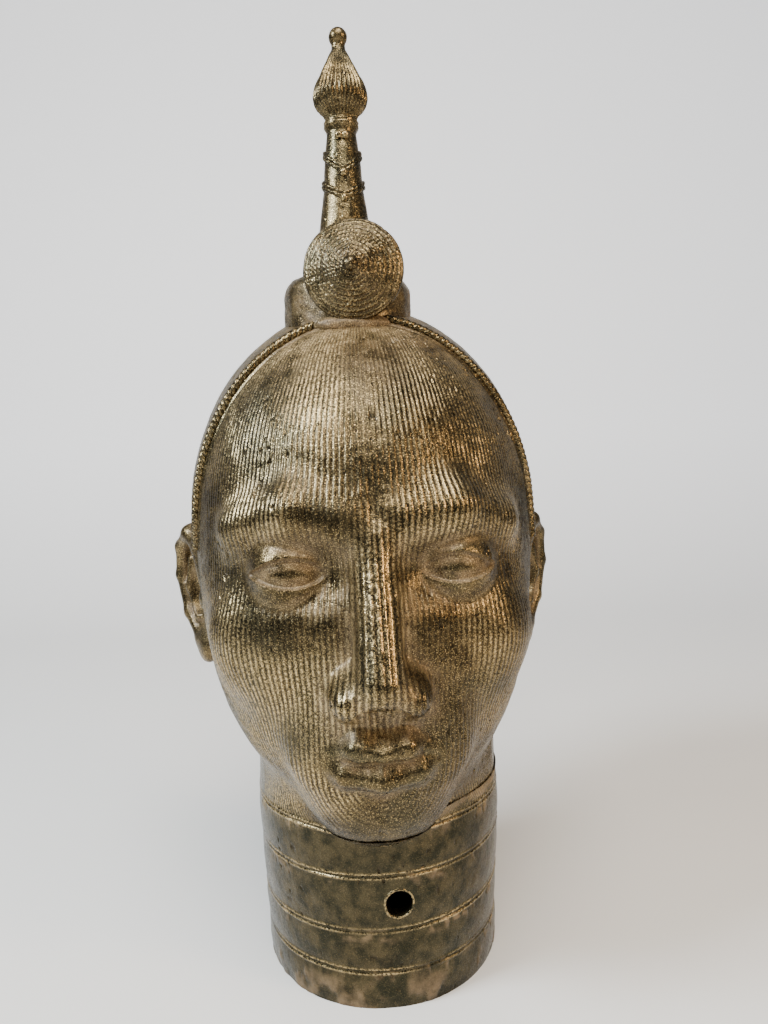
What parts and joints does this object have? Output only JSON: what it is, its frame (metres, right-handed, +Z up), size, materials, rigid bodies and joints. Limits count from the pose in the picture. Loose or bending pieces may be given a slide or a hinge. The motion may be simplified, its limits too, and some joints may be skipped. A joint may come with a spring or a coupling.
{
  "type": "ife bronze head",
  "caption": "Life-size head in the Ife manner, a hollow bronze casting with a rope-edged cap, rosette and plume, standing on its ringed neck.",
  "frame": {"origin": "centre of the part's bounding box, on the plane of the neck's rim that it stands on", "axes": "+Z up to the tip of the plume, face towards -Y, +X to the viewer's right"},
  "size_m": [0.1836, 0.2184, 0.4188],
  "materials": {
    "bronze_patina": "dark olive-brown patina over cast bronze, tan dust in the hollows, brass-coloured metal rubbed bare on the raised lines"
  },
  "bodies": {
    "root": {"head": "bronze_patina"}
  },
  "joints": []
}
